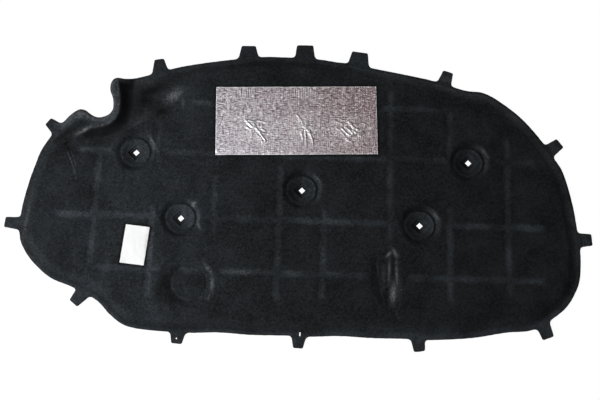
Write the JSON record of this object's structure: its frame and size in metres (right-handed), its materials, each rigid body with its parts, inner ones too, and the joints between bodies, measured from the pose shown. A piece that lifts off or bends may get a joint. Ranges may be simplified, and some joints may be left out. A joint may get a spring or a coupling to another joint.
{
  "type": "hood insulation pad",
  "caption": "Moulded felt liner for the underside of a car hood, with edge tabs, recessed clip seats, a pressed grid and a stuck-on foil heat shield.",
  "frame": {"origin": "On the floor plane under the flat back, below the middle of the whole outline with its tabs.", "axes": "+Z points from the flat back to the engine side with the seats and the foil, X runs across the car along the length of the pad, +Y points to the edge beside the foil."},
  "size_m": [1.315, 0.7006, 0.017],
  "materials": {
    "black_felt": "matt needled felt, heat pressed, slightly furry",
    "crinkled_foil": "glass-cloth-backed foil with a fine weave and crinkles",
    "white_paper": "bare white paper"
  },
  "bodies": {
    "root": {"insulation_pad": "black_felt", "foil_heat_shield": "crinkled_foil", "paper_label": "white_paper"}
  },
  "joints": []
}
